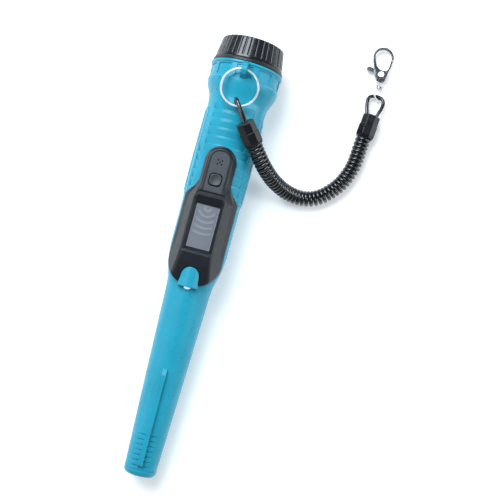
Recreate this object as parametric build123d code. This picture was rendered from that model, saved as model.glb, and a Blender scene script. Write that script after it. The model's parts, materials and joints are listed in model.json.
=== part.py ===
from build123d import *
from math import atan, atan2, cos, degrees, radians, sin, tan
import os

# A handheld pinpointing probe for metal detecting. Millimetres.
# The probe's own frame: Y runs along its axis from the tip (0) to the battery cap, Z out of the
# face with the panel, X across. The finished model is tilted so that the probe lies on a floor at
# z = 0, on its collar flange and its shoulder, with the panel up.

# Probe body
LENGTH = 250.0
TIP_FLAT_R = 6.4
TIP_R = 9.05
TIP_ROUND_Y = 2.8
TAPER_END_Y = 106.0
TAPER_END_R = 12.7
SHOULDER_Y = 130.0
SHOULDER_R = 16.4
GRIP_END_Y = 214.0
GRIP_END_R = 16.9
HOUSING_END_Y = 224.0
HOUSING_END_R = 20.2
CAVITY_R = 14.6
CAVITY_END_Y = 190.5
BATTERY_BORE_R = 15.2

# Collar, seal and cap
FLANGE_R = 20.6
FLANGE_Y = 234.5
COLLAR_END_Y = 235.0
SPIGOT_R = 16.2
SPIGOT_Y = 218.0
NECK_R = 16.2
NECK_END_Y = 246.5
THREAD_R = 17.0
THREAD_PITCH = 4.0
CAP_BORE_R = 17.35
CAP_Y = 237.6
CAP_ROOF_Y = 247.4
CAP_BASE_R = 19.7
CAP_TOP_R = 17.9
CAP_FLUTES = 36
LUG_HOLE_Y = 229.8
LUG_HOLE_Z = 23.0
LUG_HOLE_R = 1.7

# Panel, key and window
PANEL_SINK = 0.9
PANEL_RISE = 0.6
CREST_Z = 18.7
PLATE_Z = 18.3
PLATE_THICKNESS = 0.7
PLATE_HALF_WIDTH = 5.55
PLATE_GAP = 0.25
KEY_Y = 167.4
KEY_SIZE = 6.6
KEY_TRAVEL = 0.8
KEY_BOTTOM_Z = 17.1
KEY_TOP_Z = 18.85
SPEAKER_Y = 177.4
WINDOW_Y = 140.9
WINDOW_W = 13.1
WINDOW_L = 24.4
WINDOW_TOP_Z = 15.6
POCKET_W = 15.6
POCKET_L = 27.6

# Lamp hood
HOOD_R = 5.05
HOOD_FOOT_R = 5.65
HOOD_CROWN_R = 8.2
HOOD_TOP_Z = 17.5
HOOD_FACE_Y = 106.8
HOOD_ROUND_Y = 113.0
HOOD_GAP = 0.4
LAMP_R = 2.35
LAMP_Z = 14.5

# Inside
SCREWS = ((5.5, 125.2), (0.0, 184.9))
BOARD_Z = 8.0
BOARD_THICKNESS = 1.6
ROD_R = 4.0
BATTERY_Y = 199.2
BATTERY_END_Y = 244.9
MOTOR_Z = -10.5

# Split ring: two turns of flat wire
RING_R = 10.25
RING_WIDTH = 1.05
RING_HEIGHT = 1.6
RING_DROP = 8.3

# Curly lanyard, given in the finished frame
CORD_D = 2.2
COIL_D = 9.3
FERRULE_FLAT_R = 5.0
FERRULE_WIDE_R = 5.25
FERRULE_LENGTH = 13.7

# Clasp
CLASP_THICKNESS = 3.6
CLASP_GAP = 1.9
RIVET_R = 0.9
HINGE_CLEARANCE = 0.05

# How the probe lies: on the flange rim and on the shoulder, with the tip just off the floor
TILT = degrees(atan((FLANGE_R - SHOULDER_R) / (FLANGE_Y - SHOULDER_Y)))


# ---- helpers ----

def turned(*corners):
    """Solid of revolution about the probe's axis, from (y, radius) corners."""
    outline = Polyline(*[(radius, y) for y, radius in corners], close=True)
    return revolve(make_face(outline), axis=Axis.Y)


def rod(y0, y1, radius, x=0.0, z=0.0):
    """Cylinder parallel to the probe's axis."""
    return Pos(x, (y0 + y1) / 2, z) * Rot(90, 0, 0) * Cylinder(radius, y1 - y0)


def pillar(x, y, z0, z1, radius):
    """Upright cylinder."""
    return Pos(x, y, (z0 + z1) / 2) * Cylinder(radius, z1 - z0)


def block(x0, x1, y0, y1, z0, z1):
    """Box between two corners."""
    centre = Pos((x0 + x1) / 2, (y0 + y1) / 2, (z0 + z1) / 2)
    return centre * Box(x1 - x0, y1 - y0, z1 - z0)


def plan_prism(sketch, z0, z1):
    """Outline in plan, pulled up from z0 to z1."""
    return Pos(0, 0, z0) * extrude(sketch, z1 - z0)


def cross_prism(sketch, y0, y1):
    """Cross-section drawn as (x, z), pulled along the probe from y0 to y1."""
    return Pos(0, y1, 0) * Rot(90, 0, 0) * extrude(sketch, y1 - y0)


def side_prism(half_width, *corners):
    """Side view drawn as (y, z) corners, as wide as half_width on each side."""
    face = make_face(Plane.YZ * Polyline(*corners, close=True))
    return extrude(face, half_width, both=True)


def wedge(half_angle, y0, y1, reach=30.0):
    """Sector about the upward direction."""
    a = radians(half_angle)
    rim = (reach * sin(a), reach * cos(a))
    sketch = make_face(Polyline((0, 0), rim, (0, reach / cos(a / 2)), (-rim[0], rim[1]), close=True))
    return cross_prism(sketch, y0, y1)


def lower_half():
    return block(-60, 60, -10, LENGTH + 20, -60, 0)


# ---- the outer form ----

def outer_form(grow=0.0):
    """The moulded body as one solid of revolution, with its radius grown by a little and its taper
    a touch fuller at mid length."""
    g = grow
    nose = Line((0, 0), (TIP_FLAT_R + g, 0))
    edge = ThreePointArc((TIP_FLAT_R + g, 0), (TIP_R - 0.85 + g, 0.78), (TIP_R + g, TIP_ROUND_Y))
    slope = (TAPER_END_R - TIP_R) / (TAPER_END_Y - TIP_ROUND_Y)
    crown = 0.04
    taper = Polyline(
        (TIP_R + g, TIP_ROUND_Y), (TIP_R + slope * 24.2 + crown + g, TIP_ROUND_Y + 24.2),
        (TIP_R + slope * 60.2 + crown + g, TIP_ROUND_Y + 60.2), (TAPER_END_R + g, TAPER_END_Y))
    shoulder = Spline(
        (TAPER_END_R + g, TAPER_END_Y), (15.0 + g, 118), (SHOULDER_R + g, SHOULDER_Y),
        tangents=((slope, 1), (0.01, 1)))
    grip = Spline(
        (SHOULDER_R + g, SHOULDER_Y), (16.45 + g, 150), (16.8 + g, 175), (16.55 + g, 203),
        (GRIP_END_R + g, GRIP_END_Y), tangents=((0.01, 1), (0.1, 1)))
    flare = Spline(
        (GRIP_END_R + g, GRIP_END_Y), (18.5 + g, 218.8), (HOUSING_END_R + g, HOUSING_END_Y),
        tangents=((0.1, 1), (0.12, 1)))
    top = Line((HOUSING_END_R + g, HOUSING_END_Y), (0, HOUSING_END_Y))
    back = Line((0, HOUSING_END_Y), (0, 0))
    return revolve(make_face([nose, edge, taper, shoulder, grip, flare, top, back]), axis=Axis.Y)


def cavity():
    """Everything hollow inside the housing, with the bore for the battery and the collar's spigot."""
    return turned(
        (3.0, 0), (3.0, 6.6), (TAPER_END_Y, 10.3), (118, 12.8), (SHOULDER_Y, 14.2), (150, 14.3),
        (165, CAVITY_R), (CAVITY_END_Y, CAVITY_R), (CAVITY_END_Y, BATTERY_BORE_R),
        (SPIGOT_Y - 0.1, BATTERY_BORE_R), (SPIGOT_Y - 0.1, SPIGOT_R + 0.05),
        (HOUSING_END_Y + 1, SPIGOT_R + 0.05), (HOUSING_END_Y + 1, 0))


def panel_outline(gap=0.0):
    """Plan of the control panel: round top, flared shoulders, and two lobes beside the lamp hood."""
    w, n = 14.9 + gap, 8.8 + gap
    top_y, lobe_y = 177.7, 109.2 - gap
    right = [
        Line((0, lobe_y), (7.0, lobe_y)),
        ThreePointArc((7.0, lobe_y), (w - 1.9, 115.0), (w, 124)),
        Line((w, 124), (w, 157.8)),
        Line((w, 157.8), (n + 1.7, 162.6)),
        ThreePointArc((n + 1.7, 162.6), (n + 0.45, 165.0), (n, 167.8)),
        Line((n, 167.8), (n, top_y)),
    ]
    left = [mirror(edge, about=Plane.YZ) for edge in right]
    crown = ThreePointArc((n, top_y), (0, top_y + n), (-n, top_y))
    return make_face(right + left + [crown])


def grip_steps():
    """Cutter for the stepped grip: each step drops at its edge and rises again towards the next."""
    edges = [207, 202, 197, 192, 187, 182, 177, 172, 167, 162]
    surface, depth, pitch = 16.75, 0.8, 5.0
    short, long = [], []
    for y in edges:
        ring = turned((y, surface - depth), (y, surface + 3), (y + pitch, surface + 3),
                      (y + pitch, surface + 0.1))
        (short if y >= 187 else long).append(ring)
    upper = Compound(children=short) & wedge(43, 180, 214)
    lower = Compound(children=long) & wedge(58, 160, 192)
    return upper, lower


def hood(grow=0.0, edge=0.5):
    """Lamp hood: an upright arch in plan, wider at its face, with a crowned top and a soft edge."""
    r, foot_r, face_y = HOOD_R + grow, HOOD_FOOT_R + grow, HOOD_FACE_Y - grow
    plan = make_face([
        Line((-foot_r, face_y), (foot_r, face_y)),
        Line((foot_r, face_y), (r, HOOD_ROUND_Y)),
        ThreePointArc((r, HOOD_ROUND_Y), (0, HOOD_ROUND_Y + r), (-r, HOOD_ROUND_Y)),
        Line((-r, HOOD_ROUND_Y), (-foot_r, face_y)),
    ])
    crown_r = HOOD_CROWN_R + grow
    crown = rod(face_y - 5, HOOD_ROUND_Y + 10, crown_r, z=HOOD_TOP_Z - HOOD_CROWN_R)
    crown += block(-20, 20, face_y - 5, HOOD_ROUND_Y + 10, 0, HOOD_TOP_Z - HOOD_CROWN_R)
    body = plan_prism(plan, 6.0, 25) & crown
    rim = [e for e in body.edges() if e.bounding_box().min.Z > 13 and e.length > 2]
    return fillet(rim, edge)


def scraper_rib():
    """Straight rib on the tapered end, a little narrower at its upper end."""
    rib = side_prism(
        1.5, (6.0, 6), (6.0, 10.7), (6.8, 11.4), (57, 13.2), (60.5, 12.4), (60.5, 8))
    plan = make_face(Polyline((-1.5, 5), (1.5, 5), (1.2, 61), (-1.2, 61), close=True))
    return rib & plan_prism(plan, 5, 15)


def tip_grooves():
    """Seven fine V grooves across the top of the tip that fade out at each side, and one all round."""
    count, first_y, pitch, half_width, depth, drop = 7, 5.9, 2.85, 0.7, 0.75, 4.0
    slope = (TAPER_END_R - TIP_R) / (TAPER_END_Y - TIP_ROUND_Y)
    bars = []
    for i in range(count):
        y = first_y + pitch * i
        surface = TIP_R + slope * (y - TIP_ROUND_Y) + drop
        groove = turned(
            (y - half_width, surface + 0.3), (y, surface - depth), (y + half_width, surface + 0.3),
            (y + half_width, surface + 4), (y - half_width, surface + 4))
        bars.append(Pos(0, 0, -drop) * groove & block(-8, 8, 0, 40, 0, 20))
    ring_y, ring_depth = 3.5, 0.25
    ring = turned(
        (ring_y - 0.3, TIP_R + 0.05), (ring_y, TIP_R - ring_depth), (ring_y + 0.3, TIP_R + 0.05),
        (ring_y + 0.3, 12), (ring_y - 0.3, 12))
    return bars, ring


def side_rails():
    """Raised band along each seam, with a second, narrower step on it."""
    wide = outer_form(0.3) & block(-30, 30, 158, 208, -8.2, 8.2)
    narrow = outer_form(0.6) & block(-30, 30, 160, 206, -4.2, 4.2)
    return wide + narrow


def front_housing():
    shell = outer_form() + side_rails() - lower_half()
    for cutter in grip_steps():
        shell -= cutter
    grooves, ring = tip_grooves()
    for groove in grooves:
        shell -= groove
    shell -= ring
    shell += scraper_rib()
    shell -= plan_prism(panel_outline(0.12), 3, 30) - outer_form(-PANEL_SINK)
    shell += hood() - outer_form(-3)
    shell -= cavity()
    half_w, half_l = POCKET_W / 2, POCKET_L / 2
    shell -= block(-half_w, half_w, WINDOW_Y - half_l, WINDOW_Y + half_l, 10, 20)
    shell -= plan_prism(Pos(0, KEY_Y) * RectangleRounded(8.2, 8.2, 2.4), 10, 20)
    shell -= pillar(0, SPEAKER_Y, 10, 20, 2.3)
    shell -= rod(HOOD_FACE_Y - 3, 112, LAMP_R + 0.1, z=LAMP_Z)
    shell -= rod(111, 118, 1.2, z=LAMP_Z - 2.5)
    return shell


def rear_housing():
    shell = Rot(0, 180, 0) * (outer_form() + side_rails() - lower_half())
    for cutter in grip_steps():
        shell -= Rot(0, 180, 0) * cutter
    shell -= tip_grooves()[1]
    shell -= cavity()
    posts = Part() + [pillar(x, y, -17, BOARD_Z, 2.6) for x, y in SCREWS]
    saddle = block(-4.5, 4.5, 161, 169, -15.4, MOTOR_Z) - rod(160, 170, 3.0, z=MOTOR_Z)
    inner = outer_form(-0.6)
    shell += (posts + saddle) & inner
    for x, y in SCREWS:
        shell -= pillar(x, y, 2.0, 9, 0.8)
    return shell


# ---- collar, seal, cap ----

def thread_ridge():
    """One and a half turns of ridge on the neck, which the cap's lugs would ride on."""
    start_y, turns = 238.6, 1.5
    path = Helix(pitch=THREAD_PITCH, height=THREAD_PITCH * turns, radius=NECK_R, direction=(0, 1, 0),
                 center=(0, start_y, 0))
    place = Plane(origin=path @ 0, x_dir=(0, 1, 0), z_dir=path % 0)
    height = THREAD_R - NECK_R
    out = 1 if (place.y_dir.X * (path @ 0).X + place.y_dir.Z * (path @ 0).Z) > 0 else -1
    tooth = place * make_face(Polyline(
        (-0.9, -0.3 * out), (0.9, -0.3 * out), (0.35, height * out), (-0.35, height * out), close=True))
    return sweep(tooth, path=path, is_frenet=True)


def neck_collar():
    collar = turned(
        (SPIGOT_Y, BATTERY_BORE_R), (SPIGOT_Y, SPIGOT_R), (HOUSING_END_Y, SPIGOT_R),
        (HOUSING_END_Y, HOUSING_END_R), (225.2, 20.3), (225.8, 19.9), (233.4, 19.9),
        (233.9, FLANGE_R), (COLLAR_END_Y, FLANGE_R), (COLLAR_END_Y, NECK_R),
        (NECK_END_Y - 0.6, NECK_R), (NECK_END_Y, NECK_R - 0.6), (NECK_END_Y, BATTERY_BORE_R))
    count, half, depth = 10, 13.5, 0.55
    tray = turned((226.6, 19.9 - depth), (226.6, 21), (232.8, 21), (232.8, 19.9 - depth))
    one = tray & wedge(half, 226, 234)
    for i in range(count):
        collar -= Rot(0, 360 / count * i, 0) * one
    ear = side_prism(
        1.6, (224.8, 17.5), (226.0, 22.2), (227.0, 24.6), (228.8, 25.9), (230.9, 25.9),
        (232.7, 24.9), (234.4, 22.4), (234.4, 17.5))
    ear -= Pos(0, LUG_HOLE_Y, LUG_HOLE_Z) * Rot(0, 90, 0) * Cylinder(LUG_HOLE_R, 6)
    collar += ear - rod(220, 240, 17.0)
    return collar + thread_ridge()


def sealing_ring():
    r_in = CAP_BORE_R + 0.05
    return turned((COLLAR_END_Y + 0.05, r_in), (COLLAR_END_Y + 0.05, 20.1), (235.6, 20.35),
                  (236.6, 20.2), (CAP_Y - 0.1, 19.6), (CAP_Y - 0.1, r_in))


def battery_cap():
    edge_y, lip_y = 249.2, CAP_Y + 1.3
    outline = make_face([
        Line((0, CAP_Y), (CAP_BASE_R, CAP_Y)),
        Line((CAP_BASE_R, CAP_Y), (CAP_TOP_R, edge_y)),
        ThreePointArc(
            (CAP_TOP_R, edge_y), (CAP_TOP_R - 0.35, LENGTH - 0.25), (CAP_TOP_R - 1.1, LENGTH)),
        Line((CAP_TOP_R - 1.1, LENGTH), (0, LENGTH)),
        Line((0, LENGTH), (0, CAP_Y)),
    ])
    cap = revolve(outline, axis=Axis.Y)
    lean = degrees(atan((CAP_BASE_R - CAP_TOP_R) / (edge_y - CAP_Y)))
    depth = 0.7
    for i in range(CAP_FLUTES):
        width = 1.9 if i % 2 else 1.3
        slot = extrude(Plane.XZ * RectangleRounded(4, width, 0.6), -14)
        flute = Pos(CAP_BASE_R, CAP_Y, 0) * Rot(0, 0, lean) * Pos(2 - depth, lip_y - CAP_Y, 0) * slot
        cap -= Rot(0, 360 / CAP_FLUTES * i, 0) * flute
    return cap - turned(
        (CAP_Y - 1, CAP_BORE_R), (245.8, CAP_BORE_R), (245.8, 16.8), (CAP_ROOF_Y, 16.8), (CAP_ROOF_Y, 0),
        (CAP_Y - 1, 0))


def cap_pad():
    return rod(BATTERY_END_Y + 0.3, CAP_ROOF_Y, 13.0)


# ---- control panel ----

def panel_spine():
    """Raised middle of the panel: sloping sides, a nose that runs down to the lamp, soft edges."""
    foot_z, slope, width, neck = 7.7, 30, 14.9, 13.1
    base = make_face([
        Line((-width, 100), (width, 100)),
        Line((width, 100), (width, 157)),
        Line((width, 157), (neck, 165)),
        Line((neck, 165), (neck, 178.2)),
        ThreePointArc((neck, 178.2), (0, 178.2 + neck), (-neck, 178.2)),
        Line((-neck, 178.2), (-neck, 165)),
        Line((-neck, 165), (-width, 157)),
        Line((-width, 157), (-width, 100)),
    ])
    side_view = make_face([
        Line((90, 4), (90, 7)),
        Spline((90, 7), (100, 11.0), (110, 14.7), (118, 17.1), (124, 18.3), (130, CREST_Z),
               tangents=((1, 0.42), (1, 0))),
        Line((130, CREST_Z), (200, CREST_Z)),
        Line((200, CREST_Z), (200, 4)),
        Line((200, 4), (90, 4)),
    ])
    spine = Pos(0, 0, foot_z) * extrude(base, CREST_Z - foot_z, taper=slope)
    spine &= extrude(Plane.YZ * side_view, 20, both=True)
    spine = fillet([
        edge for edge in spine.edges()
        if abs(edge.center().X) > 3.5 and edge.center().Y < 157 and edge.bounding_box().min.Z > 13
        and edge.bounding_box().max.Z > CREST_Z - 0.3], 3.0)
    return fillet([
        edge for edge in spine.edges()
        if edge.bounding_box().min.Z > CREST_Z - 0.1 and edge.length > 0.5
        and (edge.center().Y > 180 or edge.center().Y > 157.2 and abs(edge.center().X) > 0.5)], 1.2)


def control_panel():
    spine = panel_spine()
    panel = (outer_form(PANEL_RISE) + spine) & plan_prism(panel_outline(), 3, 25)
    panel -= outer_form(-PANEL_SINK)
    panel -= screen_recess()
    half_w, half_l = POCKET_W / 2, POCKET_L / 2
    panel -= block(-half_w, half_w, WINDOW_Y - half_l, WINDOW_Y + half_l, 5, WINDOW_TOP_Z + 0.05)
    panel -= plan_prism(plate_outline(0), PLATE_Z - PLATE_THICKNESS, 22)
    panel -= hood(HOOD_GAP, 0.7)
    panel -= plan_prism(Pos(0, KEY_Y) * RectangleRounded(7.6, 7.6, 2.4), 10, 22)
    panel -= pillar(0, SPEAKER_Y, 10, 20, 2.6)
    return panel


def cut_frame(z, half_width, y0, y1, cut):
    """Upright rectangle at height z whose two upper corners are cut off."""
    w = half_width
    return make_face(Polyline(
        (-w, y0, z), (w, y0, z), (w, y1 - cut, z), (w - cut, y1, z), (-w + cut, y1, z), (-w, y1 - cut, z),
        close=True)).face()


def screen_recess():
    """Funnel down to the window: short slopes at the sides and foot, a long one above."""
    floor_z, top_z = WINDOW_TOP_Z + 0.35, 19.7
    rise = (top_z - floor_z) / (CREST_Z - floor_z)
    x = WINDOW_W / 2 + 2.2 * rise
    foot = WINDOW_Y - WINDOW_L / 2 - 2.4 * rise
    head = WINDOW_Y + WINDOW_L / 2 + 5.2 * rise
    low = cut_frame(floor_z, WINDOW_W / 2, WINDOW_Y - WINDOW_L / 2, WINDOW_Y + WINDOW_L / 2, 0.25)
    high = cut_frame(top_z, x, foot, head, 2.6)
    funnel = loft([low, high])
    rim = 0.45
    rim_low = cut_frame(CREST_Z - rim, x - 0.25, foot + 0.5, head - 0.5, 2.5)
    rim_high = cut_frame(CREST_Z + rim, x + 0.45, foot - 0.45, head + 0.45, 2.7)
    funnel += loft([rim_low, rim_high])
    y0, y1 = WINDOW_Y - WINDOW_L / 2, WINDOW_Y + WINDOW_L / 2
    return funnel + block(-WINDOW_W / 2, WINDOW_W / 2, y0, y1, 14, floor_z + 0.01)


def plate_outline(inset):
    """Round-topped outline of the recess for the key plate, or of the plate itself, a gap smaller."""
    y0, y1 = 160.6, 183.8 - inset
    w, r = PLATE_HALF_WIDTH - inset, 4.9 - inset
    return make_face([
        Line((-w, y0), (w, y0)),
        Line((w, y0), (w, y1 - r)),
        RadiusArc((w, y1 - r), (w - r, y1), -r),
        Line((w - r, y1), (-w + r, y1)),
        RadiusArc((-w + r, y1), (-w, y1 - r), -r),
        Line((-w, y1 - r), (-w, y0)),
    ])


def key_plate():
    plate = plan_prism(plate_outline(PLATE_GAP), PLATE_Z - PLATE_THICKNESS, PLATE_Z)
    plate -= plan_prism(Pos(0, KEY_Y) * RectangleRounded(7.4, 7.4, 2.3), 15, 20)
    hole_r, corner = 0.43, 1.12
    for dx, dy in ((0, 0), (1, 1), (1, -1), (-1, 1), (-1, -1)):
        plate -= pillar(dx * corner, SPEAKER_Y + dy * corner, 15, 20, hole_r)
    return plate


def power_button():
    key = plan_prism(Pos(0, KEY_Y) * RectangleRounded(KEY_SIZE, KEY_SIZE, 2.0), KEY_BOTTOM_Z, KEY_TOP_Z)
    key = fillet(key.edges().group_by(Axis.Z)[-1], 0.5)
    dish_r = 14.0
    return key - Pos(0, KEY_Y, KEY_TOP_Z + dish_r - 0.3) * Sphere(dish_r)


def switch_plunger():
    return pillar(0, KEY_Y, 13.1, KEY_BOTTOM_Z, 1.3)


def display_window():
    half_w, half_l = POCKET_W / 2 - 0.2, POCKET_L / 2 - 0.2
    return block(-half_w, half_w, WINDOW_Y - half_l, WINDOW_Y + half_l, 14.4, WINDOW_TOP_Z)


def display_module():
    half_w, half_l = POCKET_W / 2 - 0.3, POCKET_L / 2 - 0.3
    return block(-half_w, half_w, WINDOW_Y - half_l, WINDOW_Y + half_l, 11.2, 14.3)


def backlight():
    half_w, half_l = POCKET_W / 2 - 0.6, POCKET_L / 2 - 0.6
    top = BOARD_Z + BOARD_THICKNESS
    return block(-half_w, half_w, WINDOW_Y - half_l, WINDOW_Y + half_l, top, 11.1)


# ---- electronics ----

def circuit_board():
    board = block(-9.2, 9.2, 123, 187.4, BOARD_Z, BOARD_Z + BOARD_THICKNESS)
    for x, y in SCREWS:
        board -= pillar(x, y, BOARD_Z - 1, BOARD_Z + 3, 1.15)
    return board


def board_components():
    under = BOARD_Z
    chips = [block(-3.5, 3.5, 136, 143, under - 1.4, under), block(3, 8, 150, 155, under - 1.2, under),
             block(-8, -4, 158, 164, under - 1.0, under), pillar(-5, 149, under - 4.5, under, 2.2),
             block(4, 7, 164, 171, under - 1.6, under)]
    return chips


def switch_body():
    top = BOARD_Z + BOARD_THICKNESS
    return block(-3, 3, KEY_Y - 3, KEY_Y + 3, top, 12.2)


def buzzer():
    top = BOARD_Z + BOARD_THICKNESS
    return pillar(0, SPEAKER_Y, top, 13.1, 4.6) - pillar(0, SPEAKER_Y, 12.6, 14, 1.0)


def buzzer_membrane():
    return pillar(0, SPEAKER_Y, 13.3, 13.6, 4.2)


def vibration_motor():
    return rod(160, 171, 3.0, z=MOTOR_Z) + rod(171, 175.6, 0.5, z=MOTOR_Z)


def motor_weight():
    weight = rod(172.2, 175.2, 2.8, z=MOTOR_Z) - block(-4, 4, 170, 178, MOTOR_Z + 0.9, MOTOR_Z + 4)
    return weight - rod(170, 178, 0.5 + HINGE_CLEARANCE, z=MOTOR_Z)


def headlight_led():
    y = HOOD_FACE_Y + 1.2
    return rod(y, 111.9, LAMP_R, z=LAMP_Z) + Pos(0, y, LAMP_Z) * Sphere(LAMP_R)


def lamp_leads():
    z = LAMP_Z - 2.5
    wires = []
    for x in (-0.65, 0.65):
        path = FilletPolyline((x, 112.0, z), (x, 118.5, z), (x, 124.5, 10.2), radius=2.0)
        wires.append(tube(path, 0.4))
    return wires


def tube(path, radius):
    """Round bar along a path."""
    section = Plane(origin=path @ 0, z_dir=path % 0) * Circle(radius)
    return sweep(section, path=path)


# ---- battery and contacts ----

def battery():
    case = cross_prism(RectangleRounded(26.2, 17.2, 2.6), BATTERY_Y, BATTERY_END_Y)
    return case


def battery_terminals():
    snaps = []
    for x, r in ((-6.35, 3.0), (6.35, 2.8)):
        stud = rod(BATTERY_Y - 2.9, BATTERY_Y, r, x=x)
        if x < 0:
            stud -= rod(BATTERY_Y - 3.5, BATTERY_Y - 0.8, r - 0.7, x=x)
        snaps.append(stud)
    return snaps


def contact_plate():
    plate = rod(CAVITY_END_Y, CAVITY_END_Y + 1.6, BATTERY_BORE_R - 0.15)
    return plate - rod(190, 193, 1.2, z=9) - rod(190, 193, 1.2, z=-9)


def contact_springs():
    y = CAVITY_END_Y + 1.6
    springs = []
    for x in (-6.35, 6.35):
        path = Helix(pitch=1.05, height=3.15, radius=2.0, direction=(0, 1, 0), center=(x, y + 0.35, 0))
        springs.append(tube(path, 0.3))
    return springs


def battery_leads():
    leads = []
    for x in (-6.35, 6.35):
        path = FilletPolyline((x, CAVITY_END_Y, 0), (x, 183, 0), (x, 178, BOARD_Z - 0.5), radius=2.5)
        leads.append(tube(path, 0.6))
    return leads


# ---- sensing head ----

def ferrite_rod():
    return rod(5.5, 78, ROD_R)


def coil_bobbin():
    sleeve = rod(9, 62, 4.9) - rod(8, 63, ROD_R)
    ends = rod(9, 10.2, 6.3) + rod(60.8, 62, 6.3)
    return sleeve + (ends - rod(8, 63, ROD_R))


def search_coil():
    return rod(10.2, 60.8, 6.0) - rod(9, 62, 4.9)


def front_rod_holder():
    return turned((5.6, ROD_R), (5.6, 6.62), (8.8, 6.74), (8.8, ROD_R))


def rear_rod_holder():
    disc = turned((70, ROD_R), (70, 8.9), (75, 9.06), (75, ROD_R))
    for x in (-1.8, 1.8):
        disc -= rod(69, 76, 0.8, x=x, z=-6.2)
    return disc


def sensor_leads():
    leads = []
    for x in (-1.8, 1.8):
        path = FilletPolyline(
            (x, 62.1, -6.2), (x, 104, -6.2), (x, 126, 2.0), (x, 131, BOARD_Z - 0.6), radius=3.5)
        leads.append(tube(path, 0.5))
    return leads


def board_screws():
    screws = []
    for x, y in SCREWS:
        top = BOARD_Z + BOARD_THICKNESS
        screw = pillar(x, y, 2.0, top, 0.8) + pillar(x, y, top, top + 1.3, 1.9)
        screw -= block(x - 0.3, x + 0.3, y - 1.2, y + 1.2, top + 0.7, top + 2)
        screws.append(screw)
    return screws


# ---- split ring ----

def split_ring():
    """Two turns of flat wire pressed together; a groove marks the gap between them."""
    section = Pos(RING_R, 0) * RectangleRounded(RING_WIDTH, RING_HEIGHT, 0.3)
    ring = revolve(Plane.XZ * section, axis=Axis.Z)
    groove = Plane.XZ * make_face(Polyline(
        (RING_R + RING_WIDTH / 2 + 0.2, 0.12), (RING_R + 0.3, 0), (RING_R + RING_WIDTH / 2 + 0.2, -0.12),
        close=True))
    ring -= revolve(groove, axis=Axis.Z)
    return Pos(0, LUG_HOLE_Y, LUG_HOLE_Z) * Rot(RING_DROP, 0, 0) * Pos(0, -RING_R, 0) * ring


# ---- lanyard, in the finished frame ----

def route(points):
    """Straight runs joined by arcs, each as large as its two runs allow."""
    radii = []
    for a, b, c in zip(points, points[1:], points[2:]):
        run_in, run_out = Vector(*b) - Vector(*a), Vector(*c) - Vector(*b)
        half_turn = radians(run_in.get_angle(run_out)) / 2
        radii.append(0.45 * min(run_in.length, run_out.length) / tan(half_turn))
    print("arc radii, mm:", [round(r, 1) for r in radii])
    return FilletPolyline(*points, radius=radii)


LOOP_A_POINTS = [
    (9.2, 73.2, 37.9), (6.5, 76.7, 38.4), (3.1, 81.6, 37.75), (-0.5, 86.7, 37.65),
    (-0.3, 86.9, 43.95), (3.4, 81.9, 44.1), (6.9, 77.0, 43.8), (9.3, 73.3, 42.3),
]
COIL_POINTS = [
    (14.5, 67.2, 36.7), (21.5, 58.7, 30.4), (25.9, 55.1, 24.4), (30.0, 52.6, 18.2),
    (35.5, 50.4, 11.8), (41.9, 49.1, 7.1), (47.9, 48.8, 5.0), (54.4, 50.0, 4.75),
    (59.9, 53.2, 4.7), (64.7, 57.8, 4.75), (68.9, 63.5, 4.7), (71.8, 70.1, 4.75),
    (73.5, 76.6, 4.75), (74.0, 83.3, 4.85), (74.3, 89.0, 5.1), (75.1, 94.7, 5.3),
]
LOOP_B_POINTS = [
    (73.9, 103.2, 5.35), (73.2, 107.6, 5.1), (71.7, 112.9, 4.2), (71.8, 119.3, 2.8),
    (81.1, 119.3, 2.8), (81.1, 112.9, 4.2), (79.0, 107.6, 5.1), (78.4, 103.2, 5.35),
]
FERRULE_A_MOUTH = (7.55, 75.5, 41.2)
FERRULE_A_COIL_END = (15.7, 65.8, 35.9)
FERRULE_B_MOUTH = (76.3, 106.3, 5.35)
FERRULE_B_COIL_END = (74.9, 92.7, 5.35)


def lanyard_ferrule(mouth, coil_end):
    """Moulded eight-sided end piece: a step at mid length, tapered towards the coil."""
    along = Vector(*coil_end) - Vector(*mouth)
    across = along.cross(Vector(0, 0, 1))
    step_at, taper_at, end_r = 6.2, 12.2, 4.6
    barrel = extrude(octagon(FERRULE_FLAT_R), step_at)
    barrel = chamfer(barrel.edges().group_by(Axis.Z)[0], 0.4)
    barrel += Pos(0, 0, step_at) * extrude(octagon(FERRULE_WIDE_R), taper_at - step_at)
    slope = degrees(atan((FERRULE_WIDE_R - end_r) / (FERRULE_LENGTH - taper_at)))
    end = extrude(octagon(FERRULE_WIDE_R), FERRULE_LENGTH - taper_at, taper=slope)
    barrel += Pos(0, 0, taper_at) * end
    return Plane(origin=mouth, x_dir=across, z_dir=along).location * barrel


def octagon(flat_radius):
    return RegularPolygon(flat_radius, 8, major_radius=False, rotation=22.5)


def lanyard_loop(points):
    return tube(route(points), CORD_D / 2)


def lanyard_coil():
    return tube(route(COIL_POINTS), COIL_D / 2)


# ---- swivel and clasp, each in the clasp's own frame: Y towards the hook, Z up, base at y = 0 ----

CLASP_BASE = (76.0, 128.2, 2.8)
CLASP_LEAN = 7.7
EYE_ROLL = 38.5
EYE_WIRE_R = 0.55
EYE_HALF_WIDTH = 3.2
EYE_BOTTOM_Y = -11.0
BAR_Y0, BAR_Y1 = -2.5, -0.5
POST_R = 0.75
HOOK_CENTRE = (0.6, 15.0)
HOOK_R_OUT, HOOK_R_IN = 6.0, 4.75
HOOK_END_Y = 14.2
RIVET_AT = (0.17, 4.3)


def clasp_location():
    return Pos(*CLASP_BASE) * Rot(0, 0, CLASP_LEAN)


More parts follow.
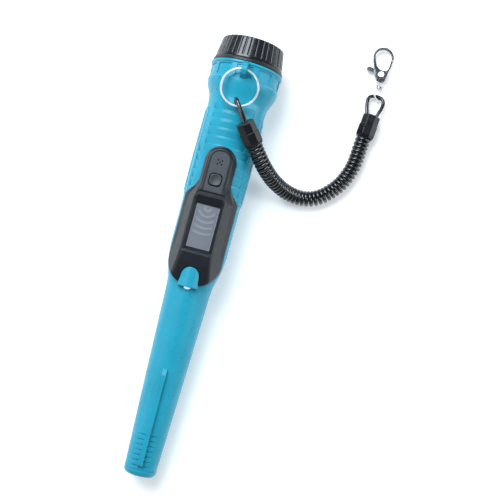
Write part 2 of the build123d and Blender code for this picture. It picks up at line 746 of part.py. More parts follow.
def swivel_eye():
    """Cross bar with two legs that meet in a round end, rolled so that it links through the loop."""
    w, bend_y = EYE_HALF_WIDTH, EYE_BOTTOM_Y + EYE_HALF_WIDTH
    legs = [
        Line((-w, BAR_Y0 + 0.3), (-w, bend_y)),
        ThreePointArc((-w, bend_y), (0, EYE_BOTTOM_Y), (w, bend_y)),
        Line((w, bend_y), (w, BAR_Y0 + 0.3)),
    ]
    eye = tube(Wire(legs), EYE_WIRE_R)
    bar = Pos(0, (BAR_Y0 + BAR_Y1) / 2, 0) * Rot(90, 0, 0) * extrude(
        RectangleRounded(2 * w + 1.1, 2.0, 0.7), (BAR_Y1 - BAR_Y0) / 2, both=True)
    bar -= rod(BAR_Y0 - 1, BAR_Y1 + 1, POST_R + HINGE_CLEARANCE)
    return clasp_location() * Rot(0, EYE_ROLL, 0) * (eye + bar)


def clasp_hook():
    """Lobster-claw body: slotted base for the gate, strut and open ring, and the swivel's post."""
    half = CLASP_THICKNESS / 2
    body = make_face([
        Line((-2.3, 0), (2.3, 0)),
        Line((2.3, 0), (4.5, 6.8)),
        Line((4.5, 6.8), (0.6, 6.7)),
        Spline((0.6, 6.7), (-1.9, 7.9), (-3.3, 10.6), (-3.95, HOOK_END_Y)),
        Line((-3.95, HOOK_END_Y), (-5.34, HOOK_END_Y)),
        Spline((-5.34, HOOK_END_Y), (-4.55, 9.4), (-3.3, 4.4), (-2.3, 0)),
    ])
    ring = Pos(*HOOK_CENTRE) * (Circle(HOOK_R_OUT) - Circle(HOOK_R_IN))
    ring -= Pos(0, HOOK_END_Y - 10) * Rectangle(30, 20)
    hook = extrude(body, half, both=True) + extrude(ring, half, both=True)
    thin = 0.85
    hook &= side_prism(20, (-1, -half), (7.2, -half), (12.5, -thin), (22, -thin), (22, thin),
                       (12.5, thin), (7.2, half), (-1, half))
    hook -= block(-12, 12, 1.9, 9.3, -CLASP_GAP / 2, CLASP_GAP / 2)
    hook -= pillar(*RIVET_AT, -3, 3, RIVET_R)
    hook += rod(BAR_Y0 - 0.3, 0.2, POST_R)
    hook += rod(BAR_Y0 - 1.5, BAR_Y0 - 0.2, 1.35)
    return clasp_location() * hook


def strip(points, width):
    """Flat strip along points in plan, with round joints."""
    shape = Sketch()
    for (x0, y0), (x1, y1) in zip(points, points[1:]):
        run = Vector(x1 - x0, y1 - y0)
        turn = degrees(atan2(y1 - y0, x1 - x0))
        slot = SlotCenterToCenter(run.length, width)
        shape += Pos((x0 + x1) / 2, (y0 + y1) / 2) * Rot(0, 0, turn) * slot
    return shape


def clasp_gate():
    """Sprung gate that turns on the rivet, with its thumb lever on the other side."""
    z0, z1 = -0.85, 0.25
    x, y = RIVET_AT
    arm = strip([(x, y), (3.0, 6.1), (4.5, 8.0), (5.3, 10.6), (5.8, 13.2)], 1.0)
    lever = strip([(x, y), (-4.4, 6.3), (-6.0, 6.9)], 1.5)
    knob = Pos(-6.45, 7.05) * Rot(0, 0, 168) * SlotCenterToCenter(1.7, 2.4)
    flat = Pos(x, y) * Circle(1.75) + arm + lever
    gate = plan_prism(flat, z0, z1) + plan_prism(knob, -1.15, 0.95)
    gate -= pillar(x, y, -2, 2, RIVET_R + HINGE_CLEARANCE)
    return clasp_location() * gate


def clasp_rivet():
    half, head = CLASP_THICKNESS / 2, 0.45
    rivet = pillar(*RIVET_AT, -half, half, RIVET_R)
    rivet += pillar(*RIVET_AT, half, half + head, 1.75) + pillar(*RIVET_AT, -half - head, -half, 1.75)
    return clasp_location() * rivet


def clasp_spring():
    """Flat torsion spring around the rivet, beside the gate."""
    coil = pillar(*RIVET_AT, 0.35, 0.85, 1.5) - pillar(*RIVET_AT, 0, 1, 1.0)
    return clasp_location() * coil


# ---- assembly ----

PROBE_PARTS = {
    "front_housing": front_housing,
    "rear_housing": rear_housing,
    "neck_collar": neck_collar,
    "sealing_ring": sealing_ring,
    "battery_cap": battery_cap,
    "cap_pad": cap_pad,
    "control_panel": control_panel,
    "key_plate": key_plate,
    "power_button": power_button,
    "switch_plunger": switch_plunger,
    "switch_body": switch_body,
    "display_window": display_window,
    "display_module": display_module,
    "backlight": backlight,
    "circuit_board": circuit_board,
    "board_components": board_components,
    "board_screws": board_screws,
    "buzzer": buzzer,
    "buzzer_membrane": buzzer_membrane,
    "vibration_motor": vibration_motor,
    "motor_weight": motor_weight,
    "headlight_led": headlight_led,
    "lamp_leads": lamp_leads,
    "battery": battery,
    "battery_terminals": battery_terminals,
    "contact_plate": contact_plate,
    "contact_springs": contact_springs,
    "battery_leads": battery_leads,
    "ferrite_rod": ferrite_rod,
    "coil_bobbin": coil_bobbin,
    "search_coil": search_coil,
    "front_rod_holder": front_rod_holder,
    "rear_rod_holder": rear_rod_holder,
    "sensor_leads": sensor_leads,
    "split_ring": split_ring,
}

LANYARD_PARTS = {
    "lanyard_loop_ring_end": lambda: lanyard_loop(LOOP_A_POINTS),
    "lanyard_ferrule_ring_end": lambda: lanyard_ferrule(FERRULE_A_MOUTH, FERRULE_A_COIL_END),
    "lanyard_coil": lanyard_coil,
    "lanyard_ferrule_clip_end": lambda: lanyard_ferrule(FERRULE_B_MOUTH, FERRULE_B_COIL_END),
    "lanyard_loop_clip_end": lambda: lanyard_loop(LOOP_B_POINTS),
    "swivel_eye": swivel_eye,
    "clasp_hook": clasp_hook,
    "clasp_gate": clasp_gate,
    "clasp_rivet": clasp_rivet,
    "clasp_spring": clasp_spring,
}


def probe_location(shapes):
    """Tilts the probe onto its flange and shoulder, then centres its box over the origin."""
    tilt = Rot(TILT, 0, 0)
    box = Compound(children=[tilt * shape for shape in shapes]).bounding_box()
    return Pos(-(box.min.X + box.max.X) / 2, -(box.min.Y + box.max.Y) / 2, -box.min.Z) * tilt


def solids_of(shape):
    pieces = shape if isinstance(shape, list) else [shape]
    return [solid for piece in pieces for solid in piece.solids()]


def main():
    os.makedirs("parts", exist_ok=True)
    probe = {name: solids_of(make()) for name, make in PROBE_PARTS.items()}
    place = probe_location([solid for solids in probe.values() for solid in solids])
    nodes = {name: [place * solid for solid in solids] for name, solids in probe.items()}
    for name, make in LANYARD_PARTS.items():
        nodes[name] = solids_of(make())
    for name, solids in nodes.items():
        whole = solids[0] if len(solids) == 1 else Compound(children=solids)
        whole.label = name
        export_step(whole, f"parts/{name}.step")
    print("nodes:", len(nodes), "placed at", place.position, "tilt", round(TILT, 3))
    return nodes, place


if __name__ == "__main__":
    main()
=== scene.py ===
import json
from math import cos, pi, radians, sin

import bmesh
import bpy
from mathutils import Matrix, Vector


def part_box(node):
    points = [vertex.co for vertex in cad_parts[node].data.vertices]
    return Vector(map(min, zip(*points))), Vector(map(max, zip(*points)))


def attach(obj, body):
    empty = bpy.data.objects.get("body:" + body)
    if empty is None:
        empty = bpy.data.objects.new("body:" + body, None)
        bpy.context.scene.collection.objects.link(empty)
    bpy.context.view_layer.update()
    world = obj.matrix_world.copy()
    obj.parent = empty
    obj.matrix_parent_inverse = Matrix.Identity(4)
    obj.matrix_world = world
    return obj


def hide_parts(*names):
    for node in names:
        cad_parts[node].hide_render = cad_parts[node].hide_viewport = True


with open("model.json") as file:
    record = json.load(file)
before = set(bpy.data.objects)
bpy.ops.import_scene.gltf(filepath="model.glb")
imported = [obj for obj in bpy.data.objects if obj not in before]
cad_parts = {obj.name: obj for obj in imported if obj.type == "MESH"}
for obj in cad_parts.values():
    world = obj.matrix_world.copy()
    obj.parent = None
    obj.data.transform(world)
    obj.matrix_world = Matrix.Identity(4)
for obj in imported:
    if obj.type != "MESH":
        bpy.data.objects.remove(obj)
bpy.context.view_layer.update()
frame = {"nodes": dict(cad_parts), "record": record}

# A pinpointer probe on a pale floor, with its split ring and curly lanyard. Metres, in the frame
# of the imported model: +Y runs from the tip to the battery cap, +Z is up.

MM = 0.001


def points_mm(*points):
    return [Vector(p) * MM for p in points]


# ---- camera ----

TILT = radians(2.302)               # the probe's own lean on the floor
ALONG = Vector((0, cos(TILT), sin(TILT)))


def make_camera():
    """Looks down on the probe from about half a metre, turned so that the cap leans to the right."""
    place = Vector((39.7, -47.65, 563.5)) * MM
    target = Vector((27.8, 11.05, 16.7)) * MM
    roll = radians(14.82)
    view = (target - place).normalized()
    upright = (ALONG - ALONG.dot(view) * view).normalized()
    across = view.cross(upright)
    up = cos(roll) * upright - sin(roll) * across
    right = cos(roll) * across + sin(roll) * upright
    camera = bpy.data.objects.new("camera", bpy.data.cameras.new("camera"))
    camera.data.sensor_width = 36
    camera.data.lens = 70.3
    turn = Matrix((right, up, -view)).transposed().to_4x4()
    camera.matrix_world = Matrix.Translation(place) @ turn
    bpy.context.scene.collection.objects.link(camera)
    bpy.context.scene.camera = camera


make_camera()


# ---- mesh helpers ----

def new_object(name, data):
    obj = bpy.data.objects.new(name, data)
    bpy.context.scene.collection.objects.link(obj)
    return obj


def swept(name, centres, sections):
    """Closed mesh through a row of sections, one for each centre, with capped ends."""
    mesh = bmesh.new()
    rows = [[mesh.verts.new(c + p) for p in section] for c, section in zip(centres, sections)]
    for low, high in zip(rows, rows[1:]):
        for i, vert in enumerate(low):
            j = (i + 1) % len(low)
            mesh.faces.new((vert, low[j], high[j], high[i]))
    mesh.faces.new(rows[0][::-1])
    mesh.faces.new(rows[-1])
    bmesh.ops.recalc_face_normals(mesh, faces=mesh.faces)
    data = bpy.data.meshes.new(name)
    mesh.to_mesh(data)
    mesh.free()
    for face in data.polygons:
        face.use_smooth = True
    return new_object(name, data)


def spline_curve(name, points):
    """Smooth curve with these points as its control points."""
    curve = bpy.data.curves.new(name, "CURVE")
    curve.dimensions = "3D"
    spline = curve.splines.new("NURBS")
    spline.points.add(len(points) - 1)
    for knot, point in zip(spline.points, points):
        knot.co = (*point, 1)
    spline.order_u = 3
    spline.use_endpoint_u = True
    return new_object(name, curve)


def line_of(points, steps=24):
    """Points along the smooth curve that a route's points control."""
    guide = spline_curve("guide", points)
    guide.data.resolution_u = steps
    bpy.context.view_layer.update()
    mesh = bpy.data.meshes.new_from_object(guide.evaluated_get(bpy.context.evaluated_depsgraph_get()))
    line = [v.co.copy() for v in mesh.vertices]
    bpy.data.meshes.remove(mesh)
    bpy.data.objects.remove(guide)
    return line


# ---- the lanyard's cord: loop, curly part and loop, in one piece ----

CORD_D = 2.2 * MM
COIL_D = 9.3 * MM                   # outside
COIL_R = (COIL_D - CORD_D) / 2
COIL_PITCH = 2.45 * MM
STEPS_A_TURN = 16
CLOSER_AT_START = 0.03              # how much nearer the first turns lie to each other
SIDES = 14                          # of the cord's round section

LOOP_A = points_mm(
    (9.2, 73.2, 37.9), (6.5, 76.7, 38.4), (3.1, 81.6, 37.75), (-0.5, 86.7, 37.65),
    (-0.3, 86.9, 43.95), (3.4, 81.9, 44.1), (6.9, 77.0, 43.8), (9.3, 73.3, 42.3))
COIL = points_mm(
    (14.5, 67.2, 36.7), (21.5, 58.7, 30.4), (25.9, 55.1, 24.4), (30.0, 52.6, 18.2),
    (35.5, 50.4, 11.8), (41.9, 49.1, 7.1), (47.9, 48.8, 5.0), (54.4, 50.0, 4.75),
    (59.9, 53.2, 4.7), (64.7, 57.8, 4.75), (68.9, 63.5, 4.7), (71.8, 70.1, 4.75),
    (73.5, 76.6, 4.75), (74.0, 83.3, 4.85), (74.3, 89.0, 5.1), (75.1, 94.7, 5.3))
LOOP_B = points_mm(
    (73.9, 103.2, 5.35), (73.2, 107.6, 5.1), (71.7, 112.9, 4.2), (71.8, 119.3, 2.8),
    (81.1, 119.3, 2.8), (81.1, 112.9, 4.2), (79.0, 107.6, 5.1), (78.4, 103.2, 5.35))


def helix_points():
    """Turns of the curly part round its line, a little closer at the ring end."""
    line = line_of(COIL)
    lengths = [0.0]
    for a, b in zip(line, line[1:]):
        lengths.append(lengths[-1] + (b - a).length)
    total = lengths[-1]
    turns = round(total / COIL_PITCH)
    count = turns * STEPS_A_TURN
    forward = (line[1] - line[0]).normalized()
    side = forward.cross(Vector((0, 0, 1))).normalized()
    points = []
    k = 0
    for i in range(count + 1):
        share = i / count
        eased = share - CLOSER_AT_START * share * (1 - share)
        target = total * eased
        while k < len(lengths) - 2 and lengths[k + 1] < target:
            k += 1
        step = lengths[k + 1] - lengths[k]
        centre = line[k].lerp(line[k + 1], (target - lengths[k]) / step)
        forward = (line[k + 1] - line[k]).normalized()
        side = (side - side.dot(forward) * forward).normalized()
        other = forward.cross(side)
        angle = 2 * pi * turns * share
        points.append(centre + COIL_R * (cos(angle) * side + sin(angle) * other))
    return points


def make_tube(name, line, radius):
    """Round tube along a line, carried forward without twist."""
    forward = (line[1] - line[0]).normalized()
    side = forward.orthogonal().normalized()
    sections = []
    for i in range(len(line)):
        ahead, behind = line[min(i + 1, len(line) - 1)], line[max(i - 1, 0)]
        forward = (ahead - behind).normalized()
        side = (side - side.dot(forward) * forward).normalized()
        other = forward.cross(side)
        sections.append([radius * (cos(a) * side + sin(a) * other)
                         for a in (2 * pi * k / SIDES for k in range(SIDES))])
    return swept(name, line, sections)


def make_cord():
    line = line_of(LOOP_A + helix_points() + LOOP_B, 3)
    length = sum((b - a).length for a, b in zip(line, line[1:]))
    return make_tube("lanyard_cord", line, CORD_D / 2), line, length


cord, cord_line, cord_length = make_cord()
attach(cord, "root")
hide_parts("lanyard_loop_ring_end", "lanyard_coil", "lanyard_loop_clip_end")
print("cord length, m:", round(cord_length, 4))


# ---- split ring: two turns of flat wire that step over each other ----

def make_split_ring():
    low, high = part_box("split_ring")
    centre = (low + high) / 2
    width, height, chamfer = 1.05 * MM, 0.74 * MM, 0.2 * MM
    gap = 0.82 * MM                             # from one turn to the other
    radius = (high.x - low.x) / 2 - width / 2
    tilt = Matrix.Rotation(TILT + radians(8.3), 4, "X")
    start, stop, steps = 35.0, 685.0, 260       # the wire's two ends, in degrees round the ring
    bend_from, bend_to = 330.0, 390.0           # the step from one turn to the other
    turn_to = -10.0
    w, h, c = width / 2, height / 2, chamfer
    corners = [(w - c, -h), (w - c * 0.3, -h + c * 0.3), (w, -h + c), (w, h - c),
               (w - c * 0.3, h - c * 0.3), (w - c, h), (-w + c, h), (-w + c * 0.3, h - c * 0.3),
               (-w, h - c), (-w, -h + c), (-w + c * 0.3, -h + c * 0.3), (-w + c, -h)]
    centres, sections = [], []
    for i in range(steps + 1):
        degree = start + (stop - start) * i / steps
        share = min(max((degree - bend_from) / (bend_to - bend_from), 0), 1)
        rise = (share * share * (3 - 2 * share) - 0.5) * gap
        a = radians(degree + turn_to)
        out = Vector((cos(a), sin(a), 0))
        centres.append(centre + tilt @ (radius * out + Vector((0, 0, rise))))
        sections.append([tilt @ (x * out + Vector((0, 0, z))) for x, z in corners])
    wire = swept("split_ring_wire", centres, sections)
    for face in wire.data.polygons:
        face.use_smooth = False
    return wire


ring = make_split_ring()
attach(ring, "ring")
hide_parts("split_ring")


# ---- materials ----

class Finish:
    """One node material, with short calls for the nodes that the finishes share."""

    def __init__(self, name, colour, roughness, **sockets):
        self.mat = bpy.data.materials.new(name)
        self.mat.use_nodes = True
        self.tree = self.mat.node_tree
        self.shader = self.tree.nodes["Principled BSDF"]
        self.place = self.node("ShaderNodeTexCoord").outputs["Object"]
        self.shader.inputs["Base Color"].default_value = (*colour, 1)
        self.shader.inputs["Roughness"].default_value = roughness
        for socket, value in sockets.items():
            self.shader.inputs[socket.replace("_", " ")].default_value = value

    def node(self, kind, **settings):
        made = self.tree.nodes.new(kind)
        for name, value in settings.items():
            setattr(made, name, value)
        return made

    def link(self, source, target):
        self.tree.links.new(source, target)

    def noise(self, size_mm, detail=2.0, stretch=(1, 1, 1)):
        """Noise with features of about this size."""
        scaled = self.node("ShaderNodeMapping")
        scaled.inputs["Scale"].default_value = stretch
        self.link(self.place, scaled.inputs["Vector"])
        noise = self.node("ShaderNodeTexNoise")
        noise.inputs["Scale"].default_value = 1 / (size_mm * MM)
        noise.inputs["Detail"].default_value = detail
        self.link(scaled.outputs["Vector"], noise.inputs["Vector"])
        return noise.outputs["Fac"]

    def mapped(self, value, low, high, to_low=0.0, to_high=1.0, smooth=False):
        ranged = self.node("ShaderNodeMapRange")
        if smooth:
            ranged.interpolation_type = "SMOOTHSTEP"
        for name, number in (("From Min", low), ("From Max", high),
                             ("To Min", to_low), ("To Max", to_high)):
            ranged.inputs[name].default_value = number
        self.link(value, ranged.inputs["Value"])
        return ranged.outputs["Result"]

    def mix(self, share, a, b):
        """Colour between a and b, which are colours or sockets."""
        mixed = self.node("ShaderNodeMix", data_type="RGBA")
        self.link(share, mixed.inputs["Factor"])
        for socket, value in ((mixed.inputs[6], a), (mixed.inputs[7], b)):
            if isinstance(value, tuple):
                socket.default_value = (*value, 1)
            else:
                self.link(value, socket)
        return mixed.outputs[2]

    def maths(self, operation, a, b=0.0):
        made = self.node("ShaderNodeMath", operation=operation)
        for socket, value in zip(made.inputs, (a, b)):
            if isinstance(value, (int, float)):
                socket.default_value = value
            else:
                self.link(value, socket)
        return made.outputs[0]

    def edges(self, radius_mm):
        """Rounded normals for sharp edges, and how much each place is an edge, from 0 to 1."""
        bevel = self.node("ShaderNodeBevel", samples=6)
        bevel.inputs["Radius"].default_value = radius_mm * MM
        flat = self.node("ShaderNodeNewGeometry").outputs["Normal"]
        dot = self.node("ShaderNodeVectorMath", operation="DOT_PRODUCT")
        self.link(bevel.outputs[0], dot.inputs[0])
        self.link(flat, dot.inputs[1])
        return bevel.outputs[0], self.mapped(dot.outputs["Value"], 1.0, 0.75)

    def bump(self, height, depth_mm, normal=None):
        bumped = self.node("ShaderNodeBump")
        bumped.inputs["Distance"].default_value = depth_mm * MM
        self.link(height, bumped.inputs["Height"])
        if normal:
            self.link(normal, bumped.inputs["Normal"])
        return bumped.outputs["Normal"]

    def colour(self, socket):
        self.link(socket, self.shader.inputs["Base Color"])

    def roughness(self, socket):
        self.link(socket, self.shader.inputs["Roughness"])

    def normal(self, socket):
        self.link(socket, self.shader.inputs["Normal"])


def shade(colour, factor):
    return tuple(min(c * factor, 1.0) for c in colour)


def moulded(name, colour, roughness, grain_mm=0.25, depth_mm=0.012, edge_mm=0.3, wear=1.25,
            clouds_mm=14, **sockets):
    """Moulded plastic or rubber: fine texture, faint clouding, rubbed edges."""
    f = Finish(name, colour, roughness, **sockets)
    rounded, edge = f.edges(edge_mm)
    cloud = f.mapped(f.noise(clouds_mm, 3), 0.3, 0.7)
    base = f.mix(cloud, shade(colour, 0.94), shade(colour, 1.06))
    rubbed = f.maths("MULTIPLY", edge, f.mapped(f.noise(1.6, 4), 0.35, 0.65))
    f.colour(f.mix(rubbed, base, shade(colour, wear)))
    grain = f.noise(grain_mm, 3)
    f.roughness(f.mapped(f.noise(3.5, 4), 0.3, 0.7, roughness - 0.05, roughness + 0.07))
    f.normal(f.bump(grain, depth_mm, rounded))
    return f.mat


TEAL = (0.018, 0.335, 0.475)
CHARCOAL = (0.0125, 0.0150, 0.0195)
# Key plate grey: lighter than the panel's charcoal, partly its own grey and partly painted sheen from
# the light above.
PLATE_GREY_AND_SHEEN = (0.034, 0.043, 0.054)


def housing_finish():
    return moulded("housing", TEAL, 0.31, grain_mm=0.3, depth_mm=0.003, edge_mm=0.3, wear=1.4,
                   Specular_IOR_Level=0.33)


def panel_finish():
    return moulded("panel", CHARCOAL, 0.34, grain_mm=0.22, depth_mm=0.008, edge_mm=0.5,
                   wear=1.8, Specular_IOR_Level=0.36)


def key_plate_finish():
    return moulded("key_plate", PLATE_GREY_AND_SHEEN, 0.5, grain_mm=0.2, depth_mm=0.016, edge_mm=0.2)


def key_finish():
    return moulded("key", (0.030, 0.033, 0.040), 0.42, grain_mm=0.35, depth_mm=0.006,
                   edge_mm=0.3)


def cap_finish():
    return moulded("cap", (0.007, 0.009, 0.014), 0.18, grain_mm=0.3, depth_mm=0.004,
                   edge_mm=0.25, wear=2.2, Specular_IOR_Level=0.6)


def seal_finish():
    return moulded("seal", (0.010, 0.010, 0.012), 0.42, grain_mm=0.3, edge_mm=0.2)


def foam_finish():
    f = Finish("foam", (0.02, 0.02, 0.022), 0.9)
    cells = f.node("ShaderNodeTexVoronoi")
    cells.inputs["Scale"].default_value = 2200
    f.link(f.place, cells.inputs["Vector"])
    f.colour(f.mix(cells.outputs["Distance"], (0.012, 0.012, 0.014), (0.04, 0.04, 0.043)))
    f.normal(f.bump(cells.outputs["Distance"], 0.1))
    return f.mat


def inner_plastic_finish():
    return moulded("inner_plastic", (0.55, 0.53, 0.47), 0.45, clouds_mm=6)


def window_finish():
    """Printed display window: grey, with pale arcs that spread from the top like ripples."""
    grey, pale = (0.185, 0.195, 0.225), (0.275, 0.290, 0.330)
    f = Finish("window", grey, 0.16, Specular_IOR_Level=0.5)
    low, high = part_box("display_window")
    split = f.node("ShaderNodeSeparateXYZ")
    f.link(f.place, split.inputs[0])
    border, inset = 1.2 * MM, 1.5 * MM          # the frame's width, and from it to the arcs' centre
    middle = (low.x + high.x) / 2
    top, foot, half_width = high.y - border, low.y + border, (high.x - low.x) / 2 - border
    across = f.maths("ABSOLUTE", f.maths("SUBTRACT", split.outputs["X"], middle))
    down = f.maths("SUBTRACT", top - inset, split.outputs["Y"])
    away = f.maths("SQRT", f.maths("ADD", f.maths("MULTIPLY", across, across),
                                   f.maths("MULTIPLY", down, down)))
    first, spacing, last = 1.8 * MM, 3.25 * MM, 16.2 * MM
    wave = f.maths("COSINE", f.maths("MULTIPLY", f.maths("SUBTRACT", away, first), 2 * pi / spacing))
    arcs = f.mapped(wave, 0.0, 0.95, smooth=True)
    fade_end = f.mapped(away, last, last - 0.5 * MM)
    arc_end, faded_end = 4.4 * MM, 5.6 * MM     # an arc's half width, and where it has faded out
    fade_side = f.mapped(across, faded_end, arc_end)
    spread = f.maths("DIVIDE", across, f.maths("ADD", down, 1.6 * MM))
    cone = f.mapped(spread, 1.35, 0.95)
    sides = f.maths("MULTIPLY", fade_side, cone)
    shown = f.maths("MULTIPLY", f.maths("MULTIPLY", arcs, fade_end), sides)
    line_out, line_in = 0.25 * MM, 0.45 * MM    # the border line's two edges, from the frame
    side_line = f.mapped(across, half_width - line_in, half_width - line_out)
    foot_line = f.mapped(split.outputs["Y"], foot + line_in, foot + line_out)
    faint = f.maths("MAXIMUM", f.maths("MULTIPLY", shown, 0.8),
                    f.maths("MULTIPLY", f.maths("MAXIMUM", side_line, foot_line), 0.9))
    cloud = f.mix(f.noise(4, 3), shade(grey, 0.96), shade(grey, 1.05))
    f.colour(f.mix(faint, cloud, pale))
    f.roughness(f.mapped(f.noise(2.0, 5), 0.3, 0.7, 0.13, 0.22))
    return f.mat


def screen_finish():
    f = Finish("screen", (0.2, 0.21, 0.23), 0.2)
    f.colour(f.mix(f.noise(5), (0.17, 0.18, 0.19), (0.22, 0.23, 0.25)))
    return f.mat


def light_guide_finish():
    f = Finish("light_guide", (0.85, 0.86, 0.88), 0.15, IOR=1.49)
    f.colour(f.mix(f.noise(4), (0.8, 0.81, 0.84), (0.9, 0.91, 0.92)))
    return f.mat


def board_finish():
    """Green solder mask with faint tracks."""
    f = Finish("board", (0.01, 0.09, 0.035), 0.35)
    tracks = f.node("ShaderNodeTexBrick")
    tracks.inputs["Scale"].default_value = 350
    tracks.inputs["Mortar Size"].default_value = 0.03
    tracks.inputs["Color1"].default_value = (0.008, 0.08, 0.03, 1)
    tracks.inputs["Color2"].default_value = (0.01, 0.10, 0.04, 1)
    tracks.inputs["Mortar"].default_value = (0.02, 0.17, 0.07, 1)
    f.link(f.place, tracks.inputs["Vector"])
    f.colour(tracks.outputs["Color"])
    f.normal(f.bump(tracks.outputs["Fac"], 0.03))
    return f.mat


def component_finish():
    return moulded("component", (0.012, 0.012, 0.014), 0.5, clouds_mm=4)


def metal(name, colour, roughness, line_mm, stretch):
    """Bare metal with fine draw lines and slight tarnish."""
    f = Finish(name, colour, roughness, Metallic=1.0)
    rounded, _ = f.edges(0.12)
    lines = f.noise(line_mm, 3, stretch)
    f.colour(f.mix(f.noise(3.0, 3), shade(colour, 0.9), shade(colour, 1.05)))
    f.roughness(f.mapped(lines, 0.3, 0.7, roughness, roughness + 0.1))
    f.normal(f.bump(lines, 0.004, rounded))
    return f.mat


def steel_finish():
    return metal("steel", (0.52, 0.52, 0.53), 0.3, 0.2, (1, 0.2, 1))


def contact_finish():
    return metal("contact", (0.72, 0.66, 0.48), 0.25, 0.3, (1, 1, 1))


def chrome_finish():
    return metal("chrome", (0.36, 0.37, 0.39), 0.07, 0.5, (1, 1, 4))


def nickel_finish():
    """Tumbled plate, a little cloudy, so that it stays light from every side."""
    f = Finish("nickel", (0.92, 0.92, 0.93), 0.35, Metallic=0.8)
    rounded, _ = f.edges(0.15)
    f.colour(f.mix(f.noise(2.5, 3), (0.88, 0.88, 0.90), (0.96, 0.96, 0.97)))
    f.roughness(f.mapped(f.noise(3.0, 3), 0.3, 0.7, 0.28, 0.40))
    f.normal(rounded)
    return f.mat


def copper_finish():
    """Enamelled winding, its turns across the rod."""
    f = Finish("copper", (0.55, 0.2, 0.07), 0.3, Metallic=1.0)
    turns = f.node("ShaderNodeTexWave", bands_direction="Y")
    turns.inputs["Scale"].default_value = 1000
    f.link(f.place, turns.inputs["Vector"])
    f.colour(f.mix(turns.outputs["Fac"], (0.3, 0.09, 0.03), (0.62, 0.25, 0.1)))
    f.normal(f.bump(turns.outputs["Fac"], 0.08))
    return f.mat


def ferrite_finish():
    return moulded("ferrite", (0.02, 0.02, 0.022), 0.55, grain_mm=0.15, depth_mm=0.03)


def battery_finish():
    """Lacquered case: a dark body and a coppery top third, divided along the length."""
    f = Finish("battery_case", (0.02, 0.022, 0.03), 0.25, Metallic=0.6)
    low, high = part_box("battery")
    split = f.node("ShaderNodeSeparateXYZ")
    f.link(f.place, split.inputs[0])
    top_share, blur = 0.3, 0.1 * MM
    band = high.y - (high.y - low.y) * top_share
    share = f.mapped(split.outputs["Y"], band - blur, band + blur)
    dark = f.mix(f.noise(5, 3), (0.018, 0.02, 0.028), (0.026, 0.028, 0.038))
    f.colour(f.mix(share, dark, (0.5, 0.24, 0.09)))
    return f.mat


def wire_finish():
    """Insulation, red on one side and black on the other."""
    f = Finish("wire", (0.4, 0.02, 0.015), 0.4)
    split = f.node("ShaderNodeSeparateXYZ")
    f.link(f.place, split.inputs[0])
    side = f.mapped(split.outputs["X"], -0.01 * MM, 0.01 * MM)
    red = f.mix(f.noise(2, 3), (0.38, 0.018, 0.012), (0.45, 0.03, 0.02))
    f.colour(f.mix(side, (0.012, 0.012, 0.014), red))
    return f.mat


def lamp_finish():
    # The faint glow (Emission Strength 0.3, in the lamps' cool white) is painted light: it lifts the
    # lens to the white of a reflected highlight.
    f = Finish("lamp", (0.80, 0.90, 1.0), 0.08, IOR=1.5, Transmission_Weight=0.35,
               Emission_Strength=0.3)
    f.shader.inputs["Emission Color"].default_value = (0.82, 0.92, 1.0, 1)
    f.colour(f.mix(f.noise(1.0, 2), (0.72, 0.85, 1.0), (0.92, 0.97, 1.0)))
    return f.mat


def cord_finish():
    """Glossy black polyurethane with faint dust, patchy gloss and a fine grain."""
    colour = (0.0045, 0.005, 0.0068)
    f = Finish("cord", colour, 0.15, Specular_IOR_Level=0.75, Coat_Weight=0.25, Coat_Roughness=0.1)
    dust = f.mapped(f.noise(1.2, 5), 0.55, 0.8)
    f.colour(f.mix(dust, colour, (0.014, 0.0155, 0.020)))
    f.roughness(f.mapped(f.noise(2.5, 4), 0.3, 0.7, 0.11, 0.21))
    f.normal(f.bump(f.noise(0.35, 3), 0.006))
    return f.mat


def ferrule_finish():
    return moulded("ferrule", (0.006, 0.0068, 0.0095), 0.17, grain_mm=0.4, depth_mm=0.005,
                   edge_mm=0.3, wear=3.0, clouds_mm=5, Specular_IOR_Level=0.55)


FINISHES = {
    "housing": housing_finish, "panel": panel_finish, "key_plate": key_plate_finish,
    "key": key_finish, "cap": cap_finish, "seal": seal_finish, "foam": foam_finish,
    "inner_plastic": inner_plastic_finish, "window": window_finish, "screen": screen_finish,
    "light_guide": light_guide_finish, "board": board_finish, "component": component_finish,
    "steel": steel_finish, "contact": contact_finish, "wire": wire_finish,
    "battery_case": battery_finish, "ferrite": ferrite_finish, "copper": copper_finish,
    "lamp": lamp_finish, "chrome": chrome_finish, "nickel": nickel_finish, "cord": cord_finish,
    "ferrule": ferrule_finish,
}


def dress(obj, material):
    obj.data.materials.clear()
    obj.data.materials.append(material)


finishes = {slot: make() for slot, make in FINISHES.items()}
for part in frame["record"]["subparts"]:
    dress(frame["nodes"][part["node"]], finishes[part["material_slot"]])
dress(cord, finishes["cord"])
dress(ring, finishes["nickel"])


# ---- floor, lamps, world ----

COOL = (0.84, 0.93, 1.0)            # the lamps' slightly blue white


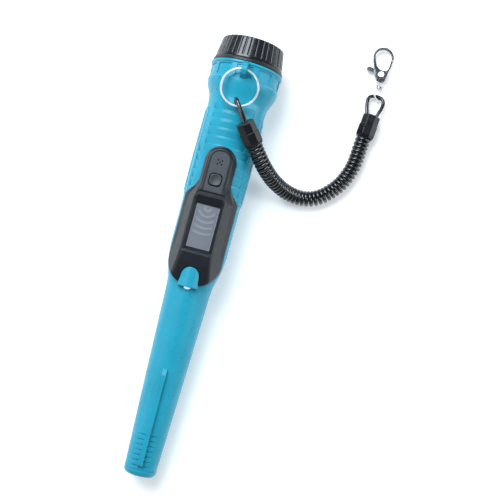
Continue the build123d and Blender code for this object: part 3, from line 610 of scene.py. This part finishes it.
def make_floor():
    """Pale floor with a little light of its own, as on a light table, so that shadows stay faint."""
    size = 3.0
    data = bpy.data.meshes.new("floor")
    corners = [(-size, -size, 0), (size, -size, 0), (size, size, 0), (-size, size, 0)]
    data.from_pydata(corners, [], [(0, 1, 2, 3)])
    floor = new_object("floor", data)
    f = Finish("floor", (0.92, 0.92, 0.92), 0.6, Specular_IOR_Level=0.2, Emission_Strength=0.32)
    f.shader.inputs["Emission Color"].default_value = (1, 1, 1, 1)
    f.mat.cycles.emission_sampling = "NONE"
    f.colour(f.mix(f.noise(60, 2), (0.90, 0.90, 0.90), (0.93, 0.93, 0.93)))
    dress(floor, f.mat)


def soft_box(name, place, target, width, height, power):
    """Softly glowing panel that faces its target."""
    light = bpy.data.lights.new(name, "AREA")
    light.shape = "RECTANGLE"
    light.size = width
    light.size_y = height
    light.energy = power
    light.color = COOL
    lamp = new_object(name, light)
    aim = Vector(target) - Vector(place)
    lamp.location = place
    lamp.rotation_euler = aim.to_track_quat("-Z", "Y").to_euler()


def make_world():
    """Studio walls: light near the floor, dimmer above, so that the lamps shape the highlights."""
    world = bpy.data.worlds.new("studio")
    world.use_nodes = True
    tree = world.node_tree
    sky = tree.nodes["Background"]
    place = tree.nodes.new("ShaderNodeTexCoord")
    split = tree.nodes.new("ShaderNodeSeparateXYZ")
    ramp = tree.nodes.new("ShaderNodeValToRGB")
    tree.links.new(place.outputs["Generated"], split.inputs[0])
    tree.links.new(split.outputs["Z"], ramp.inputs["Fac"])
    levels = [(0.0, 0.6), (0.25, 0.4), (0.6, 0.25), (1.0, 0.2)]
    stops = ramp.color_ramp.elements
    while len(stops) < len(levels):
        stops.new(0.5)
    for stop, (position, level) in zip(stops, levels):
        stop.position = position
        stop.color = (level, level, level, 1)
    tree.links.new(ramp.outputs["Color"], sky.inputs["Color"])
    sky.inputs["Strength"].default_value = 0.7
    bpy.context.scene.world = world


make_floor()
make_world()
soft_box("key_light", (-0.42, 0.50, 0.95), (0, 0.05, 0), 0.80, 0.75, 17.0)
soft_box("left_light", (-0.95, -0.25, 0.55), (0, 0, 0), 0.3, 0.9, 1.4)
soft_box("right_light", (0.95, 0.15, 0.50), (0, 0, 0), 0.25, 0.9, 5.0)
bpy.context.scene.view_settings.view_transform = "Standard"
